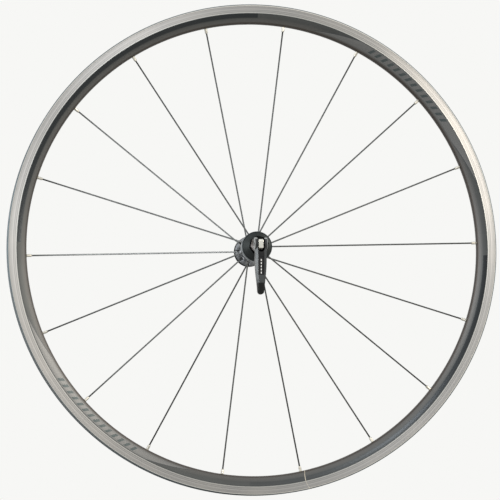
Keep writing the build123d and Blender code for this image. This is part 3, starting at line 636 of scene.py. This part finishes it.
def forged_lever():
    """Forged aluminium, anodised: satin dark grey, with a painted highlight on the edges of the lobes, black on
    the tip and on the panel along the crown, where a row of plain white dashes is printed, and painted shade in
    the slot."""
    material, tree, shader = new_finish("dark_anodised_forged_lever", Metallic=0.7)
    place, _, _, axes = wheel_place(tree)
    grain = add(tree, "ShaderNodeTexNoise", {"Vector": place, "Scale": 1 / 0.5, "Detail": 2.0})
    clouds = add(tree, "ShaderNodeTexNoise", {"Vector": place, "Scale": 1 / 8, "Detail": 3.0})
    front = add(tree, "ShaderNodeMath", {0: axes["Y"], 1: PANEL_Y}, operation="LESS_THAN")
    panel = overlap(tree, front, band(tree, axes["X"], -PANEL_HALF, PANEL_HALF, 0.15),
                    band(tree, axes["Z"], *PANEL_Z, 0.4))
    tip = band(tree, axes["Z"], *TIP_Z, 0.6)
    # painted shade: the inside of the slot is painted black
    under = add(tree, "ShaderNodeMath", {0: axes["Z"], 1: SLOT_FLOOR_Z}, operation="SUBTRACT")
    under = add(tree, "ShaderNodeMath", {0: under, 1: 0.0}, operation="MINIMUM")
    slot = add(tree, "ShaderNodeMath", {0: hypotenuse(tree, axes["X"], under), 1: SLOT_HALF},
               operation="LESS_THAN")
    # painted highlight: pale lines on the upper edges and flat sides of the lobes
    forward = add(tree, "ShaderNodeMath", {0: axes["Y"], 1: LOBE_Y}, operation="SUBTRACT")
    around = hypotenuse(tree, forward, axes["Z"])
    across = add(tree, "ShaderNodeMath", {0: axes["X"]}, operation="ABSOLUTE")
    round_lobes = band(tree, around, LOBE_R - 0.15, LOBE_R + 0.15, 0.05)
    upper_edge = overlap(tree, round_lobes, band(tree, axes["Z"], LOBE_EDGE_Z, LOBE_R + 1.0, 0.2))
    flat_sides = overlap(tree, band(tree, around, -1.0, LOBE_R, 0.05),
                         band(tree, across, LOBE_EDGE_X, LEVER_WIDE, 0.1))
    edge_highlight = add(tree, "ShaderNodeMath", {0: flat_sides, 1: upper_edge}, operation="MAXIMUM")
    dashes = overlap(tree, front, band(tree, axes["X"], -DASH_HALF, DASH_HALF, 0.1),
                     row_of_bars(tree, axes["Z"], *DASH_Z, DASH_STEP, DASH_SHARE))
    colour = painted(tree, "#373a3b", (clouds, "#434647"), (panel, "#191a1b"), (round_lobes, "#2a2c2d"),
                     (edge_highlight, "#a9adae"), (slot, "#121314"), (tip, "#121313"), (dashes, "#d9dad8"))
    rough = add(tree, "ShaderNodeMapRange", {"Value": grain, "To Min": 0.26, "To Max": 0.42})
    bump = add(tree, "ShaderNodeBump", {"Height": grain, "Distance": 0.02 * MM, "Strength": 0.3})
    connect(tree, shader, Base_Color=colour, Roughness=rough, Normal=bump)
    return material


def moulded(name, dark, light, rough, grain_mm):
    """Moulded plastic or rubber: a matt skin with a fine grain."""
    material, tree, shader = new_finish(name, Metallic=0.0)
    place = wheel_place(tree)[0]
    grain = add(tree, "ShaderNodeTexNoise", {"Vector": place, "Scale": 1 / grain_mm, "Detail": 3.0})
    spread = add(tree, "ShaderNodeMapRange",
                 {"Value": grain, "To Min": rough - 0.08, "To Max": rough + 0.08})
    bump = add(tree, "ShaderNodeBump", {"Height": grain, "Distance": 0.03 * MM, "Strength": 0.4})
    connect(tree, shader, Base_Color=painted(tree, dark, (grain, light)), Roughness=spread, Normal=bump)
    return material


FINISHES = {
    "nipple": drawn_metal("silver_aluminium_nipple", "#9c9a92", "#b0aea6", 0.4, 0.5),
    "spoke_black": drawn_metal("blackened_stainless_spoke", "#747777", "#878a8a", 0.38, 0.4),
    "hub_black": turned_metal(
        "black_anodised_drum", "#5d6063", "#6b6e71", 0.5, 0.5, 0.1,
        milled=(DRUM_R - 0.15, DRUM_END_Y - DRUM_WIDTH + DRUM_EDGE, DRUM_END_Y - 1.0, "#a6a9ac"),
        # painted light on the near drum, a dark joint at its end, and painted shade on the far drum, whose
        # reflection is dimmed too
        ends=((-DRUM_END_Y, -DRUM_END_Y + DRUM_WIDTH, "#7f8588"),
              (-DRUM_END_Y - 1.0, -DRUM_END_Y + 0.7, "#34383a"),
              (DRUM_END_Y - FAR_SHADE_BAND, DRUM_END_Y + 1.0, "#44484a")),
        shaded_gloss=(DRUM_END_Y - FAR_SHADE_BAND, DRUM_END_Y + 1.0, "#3a3a3a")),
    "cover_black": turned_metal("satin_black_anodised_cover", "#262929", "#313434", 0.48, 0.6, 0.2),
    "axle_steel": turned_metal("turned_steel_axle", "#6d6d6c", "#8b8b89", 0.34, 0.4, 0.5),
    "bearing_steel": turned_metal("ground_bearing_steel", "#a6a6a4", "#c4c4c2", 0.16, 0.3, 0.2),
    "seal_rubber": moulded("moulded_rubber_seal", "#161616", "#242424", 0.6, 0.3),
    "cage_plastic": moulded("moulded_nylon_cage", "#3a3a38", "#4c4c49", 0.5, 0.4),
    "cap_grey": two_tone_cap(),
    "lever_black": forged_lever(),
    "bright_steel": drawn_metal("bright_plated_steel", "#bdbdb6", "#cacac3", 0.32, 0.4),
    "spring_steel": drawn_metal("drawn_spring_wire", "#858584", "#a4a4a2", 0.28, 0.3),
    "nut_black": drawn_metal("black_anodised_nut", "#26272a", "#303133", 0.42, 0.4),
    "blackened_steel": drawn_metal("blackened_steel_pin", "#202122", "#2b2c2d", 0.4, 0.4),
}
# Pieces whose finish differs from their slot's
FINISH_OF = {"cam_pin": "blackened_steel", "adjusting_nut": "nut_black"}
# Widths of broken edges in millimetres, and how far from the middle plane they start on the rod
BROKEN_EDGES = {"qr_lever": 0.5, "qr_cap": 0.3, "adjusting_nut": 0.3, "left_locknut": 0.2,
                "right_locknut": 0.2, "skewer_rod": 1.5}
ROUND_FROM_X = {"skewer_rod": 3.1}

make_rim(dark_anodised_rim(), machined_brake_track())
for node, slot in SUBPARTS.items():
    if node != "rim":
        finish = FINISHES[FINISH_OF.get(node, slot)]
        smooth_copy(node, finish, edge_mm=BROKEN_EDGES.get(node, 0.0), beyond_x=ROUND_FROM_X.get(node))


# Stage, light and camera

def make_floor():
    """A wide pale floor under the wheel, which only shows from above and fades into the room."""
    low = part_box("rim")[0].z
    corners = [(x * FLOOR_HALF, y * FLOOR_HALF, low) for x, y in ((-1, -1), (1, -1), (1, 1), (-1, 1))]
    material, tree, shader = new_finish("pale_floor", Roughness=0.9, Base_Color=linear("#d2d2d0"))
    below = add(tree, "ShaderNodeNewGeometry", out="Backfacing")
    away = add(tree, "ShaderNodeTexCoord", out="Object")
    away = add(tree, "ShaderNodeVectorMath", {0: away}, out="Value", operation="LENGTH")
    fading = add(tree, "ShaderNodeMapRange",
                 {"Value": away, "From Min": FLOOR_FADE[0], "From Max": FLOOR_FADE[1]},
                 interpolation_type="SMOOTHSTEP")
    gone = add(tree, "ShaderNodeMath", {0: below, 1: fading}, operation="MAXIMUM")
    clear = add(tree, "ShaderNodeBsdfTransparent")
    mixed = add(tree, "ShaderNodeMixShader", {0: gone, 1: shader.outputs[0], 2: clear})
    tree.links.new(mixed, tree.nodes["Material Output"].inputs["Surface"])
    floor = mesh_piece("floor", corners, [(0, 1, 2, 3)], None, None, material)


def make_world():
    """An even pale room: white where it is seen or mirrored, dimmer as light on the object."""
    world = bpy.data.worlds.new("pale_room")
    world.use_nodes = True
    tree = world.node_tree
    path = add(tree, "ShaderNodeLightPath").node.outputs
    seen = add(tree, "ShaderNodeMath", {0: path["Is Camera Ray"], 1: path["Is Glossy Ray"]},
               operation="MAXIMUM")
    seen = add(tree, "ShaderNodeMath", {0: seen, 1: path["Is Transmission Ray"]}, operation="MAXIMUM")
    bright = add(tree, "ShaderNodeBackground", {"Color": linear("#f7f7f5"), "Strength": 1.0})
    lit = add(tree, "ShaderNodeBackground", {"Color": linear("#f7f7f5"), "Strength": ROOM_LIGHT})
    mixed = add(tree, "ShaderNodeMixShader", {0: seen, 1: lit, 2: bright})
    tree.links.new(mixed, tree.nodes["World Output"].inputs["Surface"])
    bpy.context.scene.world = world


def aimed(name, data, place, target):
    """Puts a lamp or camera at a place, facing a target, upright."""
    thing = bpy.data.objects.new(name, data)
    thing.location = place
    thing.rotation_euler = (Vector(target) - Vector(place)).to_track_quat("-Z", "Y").to_euler()
    bpy.context.scene.collection.objects.link(thing)
    return thing


def softbox(name, place, width, height, watts, tint):
    """A rectangular area lamp that faces the wheel's centre."""
    lamp = bpy.data.lights.new(name, "AREA")
    lamp.shape = "RECTANGLE"
    lamp.size = width
    lamp.size_y = height
    lamp.energy = watts
    lamp.color = linear(tint)[:3]
    aimed(name, lamp, place, (0, 0, 0))


def make_camera():
    """The camera of the view that the wheel is shown in."""
    turn, rise = np.radians([CAMERA_AZIMUTH_DEG, CAMERA_ELEVATION_DEG])
    way = Vector((np.sin(turn) * np.cos(rise), -np.cos(turn) * np.cos(rise), np.sin(rise)))
    data = bpy.data.cameras.new("camera")
    data.lens = CAMERA_LENS
    data.sensor_width = CAMERA_SENSOR
    data.clip_end = 100.0
    camera = aimed("camera", data, CAMERA_AIM + way * CAMERA_DISTANCE, CAMERA_AIM)
    bpy.context.scene.camera = camera


make_floor()
make_world()
for lamp in LAMPS:
    softbox(*lamp)
make_camera()
bpy.context.scene.view_settings.view_transform = "Standard"
